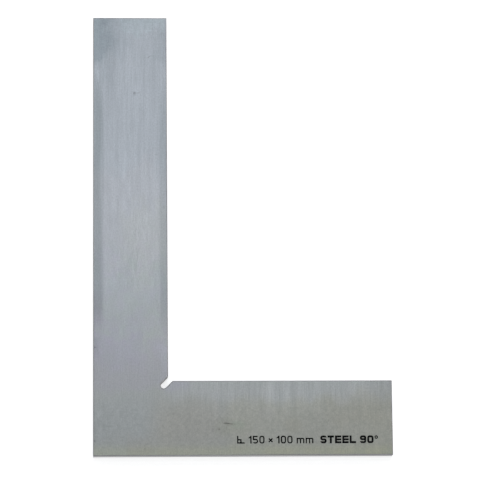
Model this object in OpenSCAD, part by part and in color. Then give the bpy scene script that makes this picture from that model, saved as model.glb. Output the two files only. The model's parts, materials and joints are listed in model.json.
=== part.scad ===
// Flat precision square: one hardened steel plate, ground all over, with a relief slot in its
// inner corner and two lines of blackened etching on the upper face. All sizes are in millimetres.
//
// Frame: the plate lies flat with its marked face up. The origin is the outer corner on the rest
// plane, +X runs along the short leg, +Y along the long leg and +Z out of the marked face.

/* [Plate] */
// Length of the long leg, along its outer edge
long_leg = 150; // [75:5:300]
// Length of the short leg, along its outer edge
short_leg = 100; // [80:5:200]
// Width of both legs
leg_w = 25; // [20:1:40]
// Thickness of the plate
plate_t = 5; // [3:0.5:10]
// Legs of the 45 degree edge break round both faces
edge_break = 0.25; // [0.1:0.05:0.5]

/* [Corner relief] */
// Width of the slot that clears the inner corner
relief_w = 2.2; // [1.6:0.1:4]
// Distance from the inner corner to the centre of the slot's round end
relief_reach = 2; // [1.5:0.1:6]

/* [Etched markings] */
// Height of the figures and capital letters
cap_h = 2.6; // [2:0.1:3]
// Height of the foot of the lettering above the short leg's outer edge
foot_y = 3.9; // [2:0.1:8]
// Distance from the end of the bold line to the end of the short leg
margin_x = 5; // [3:0.5:10]
// Space between the thin line and the bold line
line_gap = 2.3; // [1:0.1:4]
// Stroke of the thin lettering, as a share of its height
thin_share = 0.17; // [0.1:0.01:0.18]
// Stroke of the bold lettering, as a share of its height
bold_share = 0.26; // [0.2:0.01:0.26]
// Depth of the etching
etch_depth = 0.05; // [0.02:0.01:0.1]

/* [Hidden] */
$fn = 64;

// The lettering, one character to a glyph: C is the right angle sign, x is times, o is degrees
THIN_LINE = "C 150 x 100 mm";
BOLD_LINE = "STEEL 90o";
// How wide the glyphs of each line are, beside the shares that glyph_share gives
thin_widen = 1.02;
bold_widen = 1.25;
// Space after each glyph, as a share of the cap height
thin_space = 0.16;
bold_space = 0.12;
// Outer radius of a round glyph's corners, as a share of the cap height
thin_corner = 0.29;
bold_corner = 0.3;

// The slot runs at 45 degrees; its mouth meets each inner edge this far from the inner corner
relief_r = relief_w / 2;
mouth = relief_r * sqrt(2);
// The centre of the slot's round end, and where its two sides become tangent to that end
relief_x = leg_w - relief_reach / sqrt(2);
tangent = relief_r / sqrt(2);
relief_centre = [relief_x, relief_x];

// Every straight edge of the outline, with the plate on the left of each
EDGES = [
    [[0, 0], [short_leg, 0]],
    [[short_leg, 0], [short_leg, leg_w]],
    [[short_leg, leg_w], [leg_w + mouth, leg_w]],
    [[leg_w, leg_w + mouth], [leg_w, long_leg]],
    [[leg_w, long_leg], [0, long_leg]],
    [[0, long_leg], [0, 0]],
];
// The slot's two sides, each from its mouth to its round end
SLOT_SIDES = [
    [[leg_w + mouth, leg_w], relief_centre + [tangent, -tangent]],
    [[leg_w, leg_w + mouth], relief_centre + [-tangent, tangent]],
];

// ---- the plate ----

// A bar along the edge from p to q that takes 45 degrees off it; past is how far it runs on beyond q
module break_bar(p, q, past) {
    run = q - p;
    side = edge_break * sqrt(2);
    translate([p[0], p[1], 0])
        rotate([0, 0, atan2(run[1], run[0])])
            translate([-edge_break, 0, 0])
                rotate([45, 0, 0])
                    translate([0, -side / 2, -side / 2])
                        cube([norm(run) + edge_break + past, side, side]);
}

// The edge breaks of one face, round the outline and the slot
module face_breaks() {
    for (e = EDGES)
        break_bar(e[0], e[1], edge_break);
    for (e = SLOT_SIDES)
        break_bar(e[0], e[1], 0);
}

// The ring that breaks the edge of the slot's round end, widest at z = 0
module slot_end_break() {
    translate([relief_x, relief_x, 0])
        cylinder(h = edge_break, r1 = relief_r + edge_break, r2 = relief_r);
}

// The relief slot, cut square through the plate
module relief_slot() {
    translate([relief_x, relief_x, -1]) {
        cylinder(h = plate_t + 2, r = relief_r);
        rotate([0, 0, 45])
            translate([0, -relief_r, 0])
                cube([relief_reach + relief_w, relief_w, plate_t + 2]);
    }
}

module square_body() {
    color([0.63, 0.65, 0.66])
        difference() {
            union() {
                cube([leg_w, long_leg, plate_t]);
                cube([short_leg, leg_w, plate_t]);
            }
            relief_slot();
            for (z = [0, plate_t])
                translate([0, 0, z])
                    face_breaks();
            slot_end_break();
            translate([0, 0, plate_t])
                mirror([0, 0, 1])
                    slot_end_break();
            etched(etch_depth + 1)
                thin_line();
            etched(etch_depth + 1)
                bold_line();
        }
}

// ---- the etched markings ----

// Lettering as a solid that starts at the bottom of the etching
module etched(depth) {
    translate([0, foot_y, plate_t - etch_depth])
        linear_extrude(height = depth)
            children();
}

module size_marking() {
    color([0.12, 0.12, 0.12])
        etched(etch_depth)
            thin_line();
}

module angle_marking() {
    color([0.05, 0.05, 0.05])
        etched(etch_depth)
            bold_line();
}

module bold_line() {
    translate([short_leg - margin_x - line_w(BOLD_LINE, bold_widen, bold_space), 0])
        line(BOLD_LINE, bold_share, bold_widen, bold_space, bold_corner);
}

module thin_line() {
    before = margin_x + line_w(BOLD_LINE, bold_widen, bold_space) + line_gap;
    translate([short_leg - before - line_w(THIN_LINE, thin_widen, thin_space), 0])
        line(THIN_LINE, thin_share, thin_widen, thin_space, thin_corner);
}

// Width of a glyph beside the cap height, before widening
function glyph_share(c) =
    c == " " ? 0.2 :
    c == "1" ? 0.36 :
    c == "C" ? 0.95 :
    c == "m" ? 0.98 :
    c == "x" ? 0.5 :
    c == "o" ? 0.36 :
    0.66;
function glyph_w(c, widen) = cap_h * widen * glyph_share(c);
// Where glyph i of a line starts, and how long the whole line is
function glyph_x(line, i, widen, space) =
    i == 0 ? 0 : glyph_x(line, i - 1, widen, space) + glyph_w(line[i - 1], widen) + cap_h * space;
function line_w(line, widen, space) =
    glyph_x(line, len(line), widen, space) - cap_h * space;

// A line of lettering from the left end of its foot
module line(line, share, widen, space, corner) {
    for (i = [0:len(line) - 1])
        if (line[i] != " ")
            translate([glyph_x(line, i, widen, space), 0])
                glyph(line[i], glyph_w(line[i], widen), cap_h * share, cap_h * corner);
}

// One glyph w wide, drawn with strokes s wide and outer corners of radius r
module glyph(c, w, s, r) {
    if (c == "0")
        hoop(w, cap_h, s, r);
    else if (c == "1")
        figure_1(w, s);
    else if (c == "5")
        figure_5(w, s, r);
    else if (c == "9")
        figure_9(w, s, r);
    else if (c == "S")
        letter_s(w, s, r);
    else if (c == "T")
        letter_t(w, s);
    else if (c == "E")
        letter_e(w, s);
    else if (c == "L")
        letter_l(w, s);
    else if (c == "m")
        letter_m(w, s, r);
    else if (c == "x")
        times_sign(w, s);
    else if (c == "o")
        degree_sign(w, s);
    else
        angle_sign(w, s);
}

module rounded_box(w, h, r) {
    translate([r, 0])
        square([w - 2 * r, h]);
    translate([0, r])
        square([w, h - 2 * r]);
    for (x = [r, w - r], y = [r, h - r])
        translate([x, y])
            circle(r);
}

// A closed stroke round a rounded box
module hoop(w, h, s, r) {
    difference() {
        rounded_box(w, h, r);
        translate([s, s])
            rounded_box(w - 2 * s, h - 2 * s, r - s);
    }
}

// The right part of a hoop, with the whole of its foot
module right_hoop(w, h, s, r) {
    difference() {
        hoop(w, h, s, r);
        translate([-0.6 * w, s])
            square([w, h]);
    }
}

module figure_1(w, s) {
    translate([w - s, 0])
        square([s, cap_h]);
    polygon([
        [w - s / 2, cap_h],
        [0, 0.8 * cap_h],
        [0, 0.8 * cap_h - s],
        [w - s / 2, cap_h - 1.3 * s],
    ]);
}

module figure_5(w, s, r) {
    bowl = 0.62 * cap_h;
    right_hoop(w, bowl, s, r);
    translate([0, bowl - s])
        square([0.6 * w, s]);
    translate([0, bowl - s])
        square([s, cap_h - bowl + s]);
    translate([0, cap_h - s])
        square([0.92 * w, s]);
}

module figure_9(w, s, r) {
    bowl = 0.62 * cap_h;
    right_hoop(w, cap_h, s, r);
    translate([0, cap_h - bowl])
        hoop(w, bowl, s, r);
}

module letter_s(w, s, r) {
    bowl = (cap_h + s) / 2;
    right_hoop(w, bowl, s, r);
    translate([w, cap_h])
        rotate(180)
            right_hoop(w, bowl, s, r);
}

module letter_t(w, s) {
    translate([0, cap_h - s])
        square([w, s]);
    translate([(w - s) / 2, 0])
        square([s, cap_h]);
}

module letter_e(w, s) {
    square([s, cap_h]);
    for (y = [0, (cap_h - s) / 2, cap_h - s])
        translate([0, y])
            square([w, s]);
}

module letter_l(w, s) {
    square([s, cap_h]);
    square([w, s]);
}

module letter_m(w, s, r) {
    x_height = 0.72 * cap_h;
    arch = (w + s) / 2;
    square([s, x_height]);
    for (x = [0, w - arch])
        translate([x, 0])
            difference() {
                translate([0, -x_height])
                    hoop(arch, 2 * x_height, s, 0.7 * r);
                translate([-1, -2 * x_height])
                    square([arch + 2, 2 * x_height]);
            }
}

module times_sign(w, s) {
    for (turn = [45, -45])
        translate([w / 2, 0.42 * cap_h])
            rotate(turn)
                square([1.3 * w, s], center = true);
}

module degree_sign(w, s) {
    translate([w / 2, cap_h - w / 2])
        difference() {
            circle(w / 2);
            circle(w / 2 - 0.55 * s);
        }
}

// Two legs at a right angle with a small square in their corner
module angle_sign(w, s) {
    nook = 0.42 * w;
    square([s, cap_h]);
    square([w, s]);
    translate([0, nook])
        square([nook + s, s]);
    translate([nook, 0])
        square([s, nook + s]);
}

square_body();
size_marking();
angle_marking();
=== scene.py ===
"""Looks of the flat steel square: its two materials, a pale floor, soft studio light and the camera.

Everything is in metres in the frame of the CAD model: the plate lies on z = 0 with its outer corner
at the origin, the short leg along +X and the long leg along +Y. The materials work in millimetres.
"""

import json
import math

import bpy
from mathutils import Matrix, Vector


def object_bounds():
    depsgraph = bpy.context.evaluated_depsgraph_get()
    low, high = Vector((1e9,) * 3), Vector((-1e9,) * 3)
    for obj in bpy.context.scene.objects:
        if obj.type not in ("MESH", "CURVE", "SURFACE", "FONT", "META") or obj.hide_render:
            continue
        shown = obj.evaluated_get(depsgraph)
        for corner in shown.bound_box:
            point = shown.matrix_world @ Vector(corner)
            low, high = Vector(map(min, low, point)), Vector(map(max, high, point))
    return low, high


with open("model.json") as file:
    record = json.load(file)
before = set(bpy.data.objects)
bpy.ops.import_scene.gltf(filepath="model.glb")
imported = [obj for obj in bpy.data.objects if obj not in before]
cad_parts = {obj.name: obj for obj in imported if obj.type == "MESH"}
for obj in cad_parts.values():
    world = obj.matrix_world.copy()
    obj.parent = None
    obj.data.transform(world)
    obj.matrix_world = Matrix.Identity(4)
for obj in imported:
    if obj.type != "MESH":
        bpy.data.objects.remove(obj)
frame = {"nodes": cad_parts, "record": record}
cad_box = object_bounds()
low, high = cad_box
scene = bpy.context.scene

MM_PER_M = 1000.0
mounts = {mount["name"]: mount for mount in frame["record"]["mounts"]}
LEG_WIDTH = mounts["inner_long_edge"]["pos_m"][0] * MM_PER_M

STEEL = (0.431, 0.439, 0.423, 1.0)
SPECULAR_EDGE = (0.75, 0.75, 0.76, 1.0)
# Painted shade: the edge breaks get a dark grey instead of the steel's own colour
EDGE_BREAK = (0.215, 0.215, 0.22, 1.0)
# Painted shade on the slot's walls, and a painted lit and a painted shaded copy of the slot's edge
# breaks
SLOT_WALL_SHADE = (0.36, 0.36, 0.365, 1.0)
SLOT_BREAK_PAINTED_LIGHT = (0.46, 0.46, 0.465, 1.0)
SLOT_BREAK_PAINTED_SHADE = (0.13, 0.13, 0.135, 1.0)
# Painted shade that darkens the narrow sides
SIDE_SHADE = (0.87, 0.855, 0.885)
# Painted shade on the bands along the long leg's edges
BAND_SHADE = (0.885, 0.91, 0.90)
OXIDE_DARK = (0.002, 0.002, 0.002, 1.0)
OXIDE_LIGHT = (0.008, 0.008, 0.0085, 1.0)

# A face is known by its normal: by the size along Z the large faces, the edge breaks and the narrow
# sides, and by the size along Y the ends of the legs
LARGE_FACE_ABOVE = 0.9
EDGE_BREAK_NEAR = 0.7
EDGE_BREAK_WITHIN = 0.15
SIDE_BELOW = 0.5
END_ABOVE = 0.8

# ---- node helpers ----


def new_material(name):
    """A material with an empty node tree, its Principled shader already wired to the output."""
    material = bpy.data.materials.new(name)
    material.use_nodes = True
    tree = material.node_tree
    tree.nodes.clear()
    shader = tree.nodes.new("ShaderNodeBsdfPrincipled")
    output = tree.nodes.new("ShaderNodeOutputMaterial")
    tree.links.new(shader.outputs["BSDF"], output.inputs["Surface"])
    return material, tree, shader


def put(tree, socket, value):
    """Links an output to an input, or sets the input to a plain value."""
    if isinstance(value, bpy.types.NodeSocket):
        tree.links.new(value, socket)
    else:
        socket.default_value = value


def add(tree, kind, inputs=None, **settings):
    """A new node with its settings and inputs; an input is a name or a number."""
    made = tree.nodes.new("ShaderNode" + kind)
    for name, value in settings.items():
        setattr(made, name, value)
    for key, value in (inputs or {}).items():
        put(tree, made.inputs[key], value)
    return made


def math_node(tree, operation, a, b=0.0, clamp=False):
    """The result of one operation on one or two numbers."""
    return add(tree, "Math", {0: a, 1: b}, operation=operation, use_clamp=clamp).outputs[0]


def times(tree, a, b):
    """The product of two numbers."""
    return math_node(tree, "MULTIPLY", a, b)


def scaled(tree, vector, factors):
    """A vector with each axis multiplied by its factor."""
    return add(tree, "VectorMath", {0: vector, 1: factors}, operation="MULTIPLY").outputs[0]


def in_millimetres(tree, coordinates):
    """The place on the object, from a Texture Coordinate node, in millimetres."""
    return scaled(tree, coordinates.outputs["Object"], (MM_PER_M, MM_PER_M, MM_PER_M))


def noise(tree, vector, scale, detail=2.0, roughness=0.5):
    """Noise around 0.5, which is mostly between 0.3 and 0.7."""
    inputs = {"Vector": vector, "Scale": scale, "Detail": detail, "Roughness": roughness}
    return add(tree, "TexNoise", inputs, noise_dimensions="3D").outputs["Fac"]


def remap(tree, value, from_low, from_high, to_low, to_high, smooth=False):
    """The value carried from one range to another, and held at its ends."""
    inputs = {
        "Value": value,
        "From Min": from_low,
        "From Max": from_high,
        "To Min": to_low,
        "To Max": to_high,
    }
    easing = "SMOOTHSTEP" if smooth else "LINEAR"
    return add(tree, "MapRange", inputs, interpolation_type=easing).outputs["Result"]


def from_noise(tree, pattern, to_low, to_high):
    """A noise pattern's usual range carried to another."""
    return remap(tree, pattern, 0.3, 0.7, to_low, to_high)


def mix_colour(tree, factor, a, b, blend="MIX"):
    """Colour a where factor is 0, and b, or b blended over a, where it is 1."""
    # The Mix node has a set of sockets for each type of data, and 6 and 7 are its two colours
    made = add(tree, "Mix", data_type="RGBA", blend_type=blend)
    put(tree, made.inputs[0], factor)
    put(tree, made.inputs[6], a)
    put(tree, made.inputs[7], b)
    return made.outputs[2]


def mix_vector(tree, factor, a, b):
    """Vector a where factor is 0 and b where it is 1."""
    # 4 and 5 are the Mix node's two vectors
    made = add(tree, "Mix", data_type="VECTOR")
    put(tree, made.inputs[0], factor)
    put(tree, made.inputs[4], a)
    put(tree, made.inputs[5], b)
    return made.outputs[1]


# ---- materials ----


def soft_step(tree, value, start, end):
    """0 before start, 1 after end, and smooth between; start may be the larger."""
    return remap(tree, value, start, end, 0.0, 1.0, smooth=True)


def tint_by(tree, colour, factor, tint):
    """The colour multiplied by the tint where factor is 1, and left alone where it is 0."""
    tinted = mix_colour(tree, 1.0, colour, (*tint, 1.0), blend="MULTIPLY")
    return mix_colour(tree, factor, colour, tinted)


def shaded_by(tree, colour, pattern, depth):
    """The colour made up to depth darker or lighter by a noise pattern."""
    shade = from_noise(tree, pattern, 1.0 - depth, 1.0 + depth)
    return mix_colour(tree, 1.0, colour, shade, blend="MULTIPLY")


def along_grinding(tree, place, is_end, squeeze):
    """The place squeezed along the lines: along X on faces that look along Y, and along Y elsewhere."""
    along_y = scaled(tree, place, (1.0, squeeze, 1.0))
    along_x = scaled(tree, place, (squeeze, 1.0, 1.0))
    return mix_vector(tree, is_end, along_y, along_x)


def window(tree, value, span, fade):
    """1 inside the span, falling to 0 over the fade outside it."""
    rise = soft_step(tree, value, span[0] - fade, span[0])
    fall = soft_step(tree, value, span[1] + fade, span[1])
    return times(tree, rise, fall)


# Faint patches of tone and colour in millimetres on the marked face: span along X, span along Y,
# width of the fading edge, tint. Some spans run past the plate's own edges.
# Some of these patches are painted shade or painted highlight, as their notes say
PATCHES = (
    ((-9.0, 4.0), (139.0, 160.0), 5.0, (0.80, 0.835, 0.84)),  # painted shade: darker outer corner of the far end, where the outer edge band widens
    ((-9.0, 10.0), (139.0, 160.0), 4.0, (0.955, 0.965, 0.97)),
    ((-9.0, 1.0), (144.0, 160.0), 3.0, (1.08, 1.09, 1.08)),  # its lighter rim
    ((-9.0, 4.0), (126.0, 134.0), 4.0, (0.95, 0.96, 0.96)),
    ((12.0, 30.0), (148.0, 160.0), 4.0, (1.01, 1.045, 1.035)),  # lighter strip at the far end
    ((23.0, 30.0), (136.0, 145.0), 4.0, (0.91, 0.92, 0.92)),  # darker inner corner of the far end
    ((13.0, 23.0), (120.0, 146.0), 7.0, (1.05, 1.05, 1.05)),  # paler middle of the far end
    ((-9.0, 30.0), (78.0, 160.0), 50.0, (0.975, 1.00, 1.10)),  # cooler towards the far end
    ((-9.0, 30.0), (66.0, 92.0), 9.0, (1.045, 1.02, 1.01)),  # warmer middle
    ((12.0, 30.0), (60.0, 82.0), 6.0, (1.015, 1.015, 0.98)),  # yellowish spot in it
    ((-9.0, 30.0), (46.0, 64.0), 8.0, (0.985, 0.995, 1.01)),  # cooler again below it
    ((-9.0, 30.0), (24.0, 39.0), 4.0, (0.985, 0.965, 1.035)),  # purplish above the inner corner
    ((-9.0, 14.0), (32.0, 44.0), 6.0, (0.985, 0.985, 1.02)),
    ((22.0, 30.0), (31.0, 37.0), 3.0, (1.04, 1.05, 1.07)),  # lighter at the inner edge there
    ((-9.0, 1.0), (34.0, 39.0), 2.0, (0.92, 0.92, 0.93)),  # and darker at the outer edge
    ((-9.0, 16.0), (9.0, 17.0), 8.0, (0.975, 0.985, 1.005)),  # cool outer corner
    ((13.0, 18.0), (2.0, 6.0), 3.0, (0.975, 0.95, 0.93)),
    ((26.0, 42.0), (9.0, 14.0), 7.0, (0.975, 0.965, 0.955)),  # brownish root of the short leg
    ((24.0, 40.0), (3.0, 12.0), 9.0, (0.99, 0.965, 0.935)),
    ((48.0, 110.0), (3.0, 16.0), 6.0, (1.01, 0.985, 0.92)),  # olive outer half of the short leg
    ((80.0, 95.0), (13.0, 19.0), 5.0, (0.985, 0.975, 0.96)),
    ((83.0, 110.0), (3.0, 11.0), 5.0, (1.04, 1.035, 1.025)),
    ((92.0, 110.0), (3.0, 21.0), 5.0, (1.025, 1.025, 1.015)),
    ((28.0, 110.0), (21.0, 30.0), 5.0, (1.04, 1.04, 1.06)),  # painted highlight along the inner short edge
    # More painted highlight along the inner short edge
    ((60.0, 91.0), (20.0, 30.0), 7.0, (1.05, 1.055, 1.055)),
)

# Stains and lighter spots in millimetres on the marked face: place, half length, half width, turn in
# degrees, tint
STAINS = (
    ((44.0, 9.6), 4.0, 3.6, 0.0, (0.945, 0.95, 0.92)),
    ((48.4, 10.2), 2.6, 1.6, 0.0, (0.935, 0.975, 0.95)),
    ((88.0, 15.5), 2.4, 1.1, 15.0, (0.96, 0.96, 0.96)),
    ((58.0, 21.0), 4.0, 2.4, 90.0, (1.07, 1.06, 1.06)),
    ((88.0, 22.5), 3.6, 3.4, 0.0, (1.09, 1.09, 1.09)),
    ((66.5, 10.0), 3.6, 3.0, 0.0, (0.96, 0.95, 0.93)),
    ((50.0, 9.0), 3.6, 3.4, 90.0, (0.97, 0.965, 0.95)),
    ((58.0, 14.0), 3.0, 2.4, 0.0, (1.05, 1.04, 1.06)),
    ((14.6, 128.8), 3.4, 0.8, 90.0, (0.93, 0.93, 0.93)),
    ((3.6, 12.5), 6.5, 0.8, 90.0, (0.95, 0.95, 0.95)),
)

# Pits, nicks and scratches in millimetres on the marked face: place, half length, half width,
# turn in degrees, and how dark or light they are
MARKS = (
    ((14.0, 123.6), 0.55, 0.50, 20.0, 0.74),
    ((14.1, 123.3), 1.00, 0.75, 90.0, 0.90),
    ((15.2, 123.7), 0.80, 0.30, 15.0, 0.86),
    ((19.0, 136.3), 0.75, 0.18, 42.0, 0.74),
    ((1.7, 129.8), 2.80, 0.42, 90.0, 1.17),
    ((0.9, 131.6), 2.20, 0.36, 90.0, 1.13),
    ((15.6, 118.1), 0.22, 0.18, 0.0, 0.80),
    ((21.4, 102.3), 0.70, 0.18, 0.0, 0.84),
    ((23.9, 84.1), 0.90, 0.55, 90.0, 0.92),
    ((0.6, 36.3), 0.60, 0.25, 0.0, 0.72),
    ((0.5, 5.0), 0.45, 0.40, 0.0, 0.72),
    ((17.2, 2.2), 0.55, 0.15, 90.0, 0.65),
    ((44.4, 10.7), 1.20, 0.30, -1.0, 0.62),
    ((45.6, 10.6), 1.20, 0.24, -3.0, 0.80),
    ((46.6, 10.3), 0.90, 0.40, -5.0, 0.92),
    ((42.0, 8.7), 0.40, 0.35, 0.0, 0.78),
)


def patches(tree, colour, x, y, wander):
    """The colour with every patch laid over it; wander, in millimetres, makes their edges uneven."""
    uneven_x = math_node(tree, "ADD", x, times(tree, wander, 0.35))
    uneven_y = math_node(tree, "ADD", y, wander)
    for span_x, span_y, fade, tint in PATCHES:
        across = window(tree, uneven_x, span_x, fade)
        along = window(tree, uneven_y, span_y, fade)
        colour = tint_by(tree, colour, times(tree, across, along), tint)
    return colour


def oval(tree, place, centre, half_length, half_width, turn):
    """1 in the middle of an oval, falling to 0 at its rim."""
    mapping = add(tree, "Mapping", {"Vector": place}, vector_type="TEXTURE")
    mapping.inputs["Location"].default_value = (*centre, 0.0)
    mapping.inputs["Rotation"].default_value = (0.0, 0.0, math.radians(turn))
    mapping.inputs["Scale"].default_value = (half_length, half_width, 1.0)
    flat = scaled(tree, mapping.outputs[0], (1.0, 1.0, 0.0))
    reach = add(tree, "VectorMath", {0: flat}, operation="LENGTH").outputs["Value"]
    return soft_step(tree, reach, 1.2, 0.5)


def marks(tree, colour, place):
    """The colour with every stain and small mark on it."""
    shades = tuple((*mark[:4], (mark[4],) * 3) for mark in MARKS)
    for centre, half_length, half_width, turn, tint in STAINS + shades:
        inside = oval(tree, place, centre, half_length, half_width, turn)
        colour = tint_by(tree, colour, inside, tint)
    return colour


def edge_bands(tree, x, y, streaks):
    """Bands along the long leg's two edges, fading before its ends, for painted shade and a little more
    roughness.
    """
    ragged = math_node(tree, "ADD", x, from_noise(tree, streaks, -0.4, 0.4))
    outer = soft_step(tree, ragged, 3.9, 2.2)
    inner = times(tree, soft_step(tree, ragged, LEG_WIDTH - 3.1, LEG_WIDTH - 2.0), 0.6)
    both = math_node(tree, "ADD", outer, inner, clamp=True)
    return times(tree, both, window(tree, y, (LEG_WIDTH + 26.0, 118.0), 12.0))


def plate_patterns(tree, place, is_end):
    """The noise patterns of the steel, from the grinding lines to the broadest clouds."""
    shifted = add(tree, "Mapping", {"Vector": place, "Location": (40.0, 0.0, 0.0)}).outputs[0]
    slightly_long = scaled(tree, place, (1.0, 0.8, 1.0))
    long = scaled(tree, place, (1.0, 0.7, 1.0))
    very_long = scaled(tree, place, (1.0, 0.6, 1.0))
    fine = along_grinding(tree, place, is_end, 0.07)
    broad = along_grinding(tree, place, is_end, 0.035)
    return {
        "lines": noise(tree, fine, scale=2.6, detail=3.0, roughness=0.7),
        "streaks": noise(tree, broad, scale=0.8, detail=2.0, roughness=0.6),
        "grain": noise(tree, long, scale=2.4, detail=2.0, roughness=0.6),
        "speckle": noise(tree, place, scale=0.9, detail=1.0),
        "cloud": noise(tree, very_long, scale=0.14, detail=4.0, roughness=0.6),
        "mottle": noise(tree, slightly_long, scale=0.35, detail=3.0, roughness=0.6),
        "film": noise(tree, shifted, scale=0.2, detail=2.0),
    }


def ground_colour(tree, x, y, patterns):
    """The ground steel's colour on every face, with its streaks, lines, grain and speckle."""
    # The streaks show most in the middle of the long leg and along the inner short edge
    on_long_leg = window(tree, y, (100.0, 130.0), 26.0)
    past_corner = soft_step(tree, x, 24.0, 32.0)
    on_short_leg = times(tree, window(tree, y, (17.0, 25.0), 6.0), past_corner)
    faint = shaded_by(tree, STEEL, patterns["streaks"], depth=0.012)
    strong = shaded_by(tree, STEEL, patterns["streaks"], depth=0.07)
    colour = mix_colour(tree, math_node(tree, "MAXIMUM", on_long_leg, on_short_leg), faint, strong)

    # Towards the outer short edge the lines give way to specks
    worn = window(tree, y, (4.0, 15.0), 5.0)
    sharp_lines = shaded_by(tree, colour, patterns["lines"], depth=0.11)
    worn_lines = shaded_by(tree, colour, patterns["lines"], depth=0.05)
    colour = mix_colour(tree, worn, sharp_lines, worn_lines)
    colour = shaded_by(tree, colour, patterns["grain"], depth=0.10)
    colour = shaded_by(tree, colour, patterns["cloud"], depth=0.025)
    at_far_end = soft_step(tree, y, 138.0, 146.0)
    speckled = shaded_by(tree, colour, patterns["speckle"], depth=0.05)
    colour = mix_colour(tree, at_far_end, colour, speckled)
    speckled = shaded_by(tree, colour, patterns["speckle"], depth=0.06)
    return mix_colour(tree, worn, colour, speckled)


def marked_colour(tree, colour, place, x, y, patterns, bands):
    """The colour of the marked face, with its patches, the bands and rim of painted shade, stains and
    small marks.
    """
    low_down = window(tree, y, (LEG_WIDTH + 15.0, LEG_WIDTH + 35.0), 25.0)
    mottled = times(tree, soft_step(tree, patterns["mottle"], 0.45, 0.6), low_down)
    colour = tint_by(tree, colour, mottled, (1.01, 0.985, 1.015))
    filmed = times(tree, soft_step(tree, patterns["film"], 0.45, 0.6), low_down)
    colour = tint_by(tree, colour, filmed, (0.985, 1.0, 0.975))

    # The patches' edges wander less on the short leg
    calmer = remap(tree, y, LEG_WIDTH, LEG_WIDTH + 20.0, 0.3, 1.0)
    wander = times(tree, from_noise(tree, patterns["cloud"], -7.0, 7.0), calmer)
    colour = patches(tree, colour, x, y, wander)

    # The bands of painted shade turn purplish at their lower ends
    colour = tint_by(tree, colour, bands, BAND_SHADE)
    purplish = times(tree, bands, soft_step(tree, y, LEG_WIDTH + 36.0, LEG_WIDTH + 26.0))
    colour = tint_by(tree, colour, purplish, (1.01, 0.965, 1.02))

    # Painted shade as a dark rim on the lower third of the outer long edge, and an olive rim on the
    # outer short edge
    rim_shade = times(tree, soft_step(tree, x, 0.9, 0.4), soft_step(tree, y, 62.0, 50.0))
    colour = tint_by(tree, colour, rim_shade, (0.90, 0.90, 0.91))
    colour = tint_by(tree, colour, soft_step(tree, y, 4.5, 1.0), (1.06, 1.07, 0.95))
    return marks(tree, colour, place)


def edges_coloured(tree, colour, place, facing, upward):
    """The colour with painted shade on the narrow sides, the edge breaks and the slot's walls, and lit
    and shaded copies painted on the slot's own edge breaks.
    """
    is_side = math_node(tree, "LESS_THAN", upward, SIDE_BELOW)
    is_break = math_node(tree, "COMPARE", upward, EDGE_BREAK_NEAR)
    is_break.node.inputs[2].default_value = EDGE_BREAK_WITHIN
    in_slot = oval(tree, place, (LEG_WIDTH - 0.7, LEG_WIDTH - 0.7), 4.0, 2.4, 45.0)
    colour = tint_by(tree, colour, is_side, SIDE_SHADE)
    colour = mix_colour(tree, is_break, colour, EDGE_BREAK)
    # Slot breaks that face the front get the painted light, the others the painted shade
    faces_front = math_node(tree, "LESS_THAN", facing.outputs["Y"], 0.0)
    painted_slot_break = mix_colour(tree, faces_front, SLOT_BREAK_PAINTED_SHADE, SLOT_BREAK_PAINTED_LIGHT)
    colour = mix_colour(tree, times(tree, in_slot, is_break), colour, painted_slot_break)
    return mix_colour(tree, times(tree, in_slot, is_side), colour, SLOT_WALL_SHADE)


def ground_steel():
    """Surface-ground hardened steel: fine lines along the long leg, or along the edge on the ends."""
    material, tree, shader = new_material("ground_steel")
    coordinates = add(tree, "TexCoord")
    place = in_millimetres(tree, coordinates)
    at = add(tree, "SeparateXYZ", {0: place})
    x, y = at.outputs["X"], at.outputs["Y"]
    facing = add(tree, "SeparateXYZ", {0: coordinates.outputs["Normal"]})
    upward = math_node(tree, "ABSOLUTE", facing.outputs["Z"])
    is_marked = math_node(tree, "GREATER_THAN", facing.outputs["Z"], LARGE_FACE_ABOVE)
    is_large = math_node(tree, "GREATER_THAN", upward, LARGE_FACE_ABOVE)
    lengthwise = math_node(tree, "ABSOLUTE", facing.outputs["Y"])
    is_end = math_node(tree, "GREATER_THAN", lengthwise, END_ABOVE)

    patterns = plate_patterns(tree, place, is_end)
    bands = times(tree, edge_bands(tree, x, y, patterns["streaks"]), is_marked)
    ground = ground_colour(tree, x, y, patterns)
    marked = marked_colour(tree, ground, place, x, y, patterns, bands)
    colour = mix_colour(tree, is_marked, ground, marked)
    put(tree, shader.inputs["Base Color"], edges_coloured(tree, colour, place, facing, upward))

    rough = from_noise(tree, patterns["lines"], 0.36, 0.44)
    put(tree, shader.inputs["Roughness"], math_node(tree, "ADD", rough, times(tree, bands, 0.03)))
    put(tree, shader.inputs["Metallic"], 1.0)
    put(tree, shader.inputs["Anisotropic"], 0.6)
    put(tree, shader.inputs["Specular Tint"], SPECULAR_EDGE)

    # A brushed highlight spreads square to the lines
    spread = mix_vector(tree, is_large, (0.0, 0.0, 1.0), (1.0, 0.0, 0.0))
    put(tree, shader.inputs["Tangent"], spread)

    bump = add(tree, "Bump", {"Strength": 0.2, "Distance": 0.00002, "Height": patterns["lines"]})
    put(tree, shader.inputs["Normal"], bump.outputs[0])
    return material


def etched_black():
    """Matt black oxide in the floor of the etching, a little uneven."""
    material, tree, shader = new_material("etched_black")
    grain = noise(tree, in_millimetres(tree, add(tree, "TexCoord")), scale=8.0, detail=3.0)
    worn = remap(tree, grain, 0.35, 0.7, 0.0, 1.0)
    put(tree, shader.inputs["Base Color"], mix_colour(tree, worn, OXIDE_DARK, OXIDE_LIGHT))
    put(tree, shader.inputs["Roughness"], from_noise(tree, grain, 0.7, 0.9))
    put(tree, shader.inputs["Specular IOR Level"], 0.12)
    return material


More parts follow.
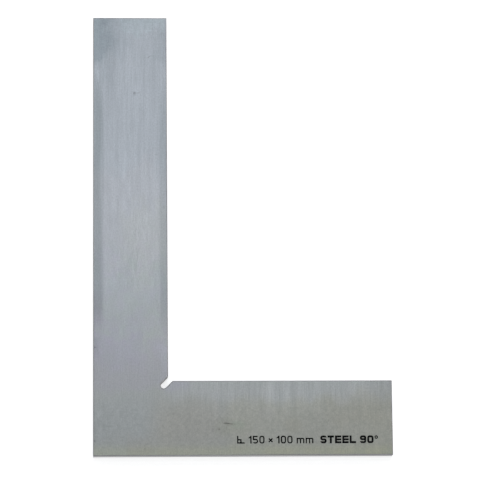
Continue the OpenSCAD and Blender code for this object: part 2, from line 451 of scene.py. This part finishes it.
def pale_floor():
    """A matt white floor that glows enough to keep its shadows faint."""
    material, tree, shader = new_material("pale_floor")
    put(tree, shader.inputs["Base Color"], (0.85, 0.85, 0.85, 1))
    put(tree, shader.inputs["Roughness"], 0.9)
    put(tree, shader.inputs["Specular IOR Level"], 0.1)
    put(tree, shader.inputs["Emission Color"], (1.0, 1.0, 1.0, 1))
    put(tree, shader.inputs["Emission Strength"], FLOOR_GLOW)
    return material


def dress(piece, material):
    """Gives a piece this material and no other."""
    piece.data.materials.clear()
    piece.data.materials.append(material)


# ---- the object ----

steel = ground_steel()
black = etched_black()
dress(frame["nodes"]["square_body"], steel)
dress(frame["nodes"]["size_marking"], black)
dress(frame["nodes"]["angle_marking"], black)

# ---- floor, light and camera ----

FLOOR_SIZE = 6.0
FLOOR_GAP = 0.00002
FLOOR_GLOW = 0.70
BOX_SIZE = 0.25
BOX_COLOUR = (0.95, 1.0, 1.05)
WORLD_STRENGTH = 1.4


def make_floor():
    """The floor, just clear of the plate's lower face."""
    bpy.ops.mesh.primitive_plane_add(size=FLOOR_SIZE, location=(0, 0, low.z - FLOOR_GAP))
    floor = bpy.context.object
    floor.name = "floor"
    dress(floor, pale_floor())


def softbox(name, place, power):
    """A square area light that faces the middle of the plate."""
    light = bpy.data.lights.new(name, "AREA")
    light.size = BOX_SIZE
    light.energy = power
    light.color = BOX_COLOUR
    lamp = bpy.data.objects.new(name, light)
    lamp.location = place
    lamp.rotation_euler = (middle - Vector(place)).to_track_quat("-Z", "Y").to_euler()
    scene.collection.objects.link(lamp)


def studio_world():
    """A pale surround, bright at the horizon and dark towards the zenith."""
    world = bpy.data.worlds.new("studio")
    world.use_nodes = True
    tree = world.node_tree
    height = add(tree, "SeparateXYZ", {0: add(tree, "TexCoord").outputs["Generated"]}).outputs["Z"]
    background = tree.nodes["Background"]
    put(tree, background.inputs["Color"], soft_step(tree, height, 0.8, 0.05))
    put(tree, background.inputs["Strength"], WORLD_STRENGTH)
    scene.world = world


def make_camera():
    """A long lens high above the outer long edge's line, a little in front of the short leg."""
    data = bpy.data.cameras.new("camera")
    data.sensor_width = 36.0
    data.lens = 200.0
    camera = bpy.data.objects.new("camera", data)
    place = Vector((low.x + 0.0019, low.y - 0.088, high.z + 0.8843))
    aim = Vector((low.x + 0.0495, low.y + 0.0728, high.z))
    back = (place - aim).normalized()
    up = back.cross(Vector((1, 0, 0))).normalized()
    right = up.cross(back)
    turn = Matrix((right, up, back)).transposed().to_4x4()
    camera.matrix_world = Matrix.Translation(place) @ turn
    scene.collection.objects.link(camera)
    scene.camera = camera


middle = (low + high) / 2
make_floor()
studio_world()
softbox("top_box", (0.05, 0.3, 1.2), 1.28)
softbox("back_box", (0.05, 0.8, 1.2), 2.54)
softbox("front_box", (0.05, -0.1, 1.2), 0.48)
make_camera()
scene.view_settings.view_transform = "Standard"
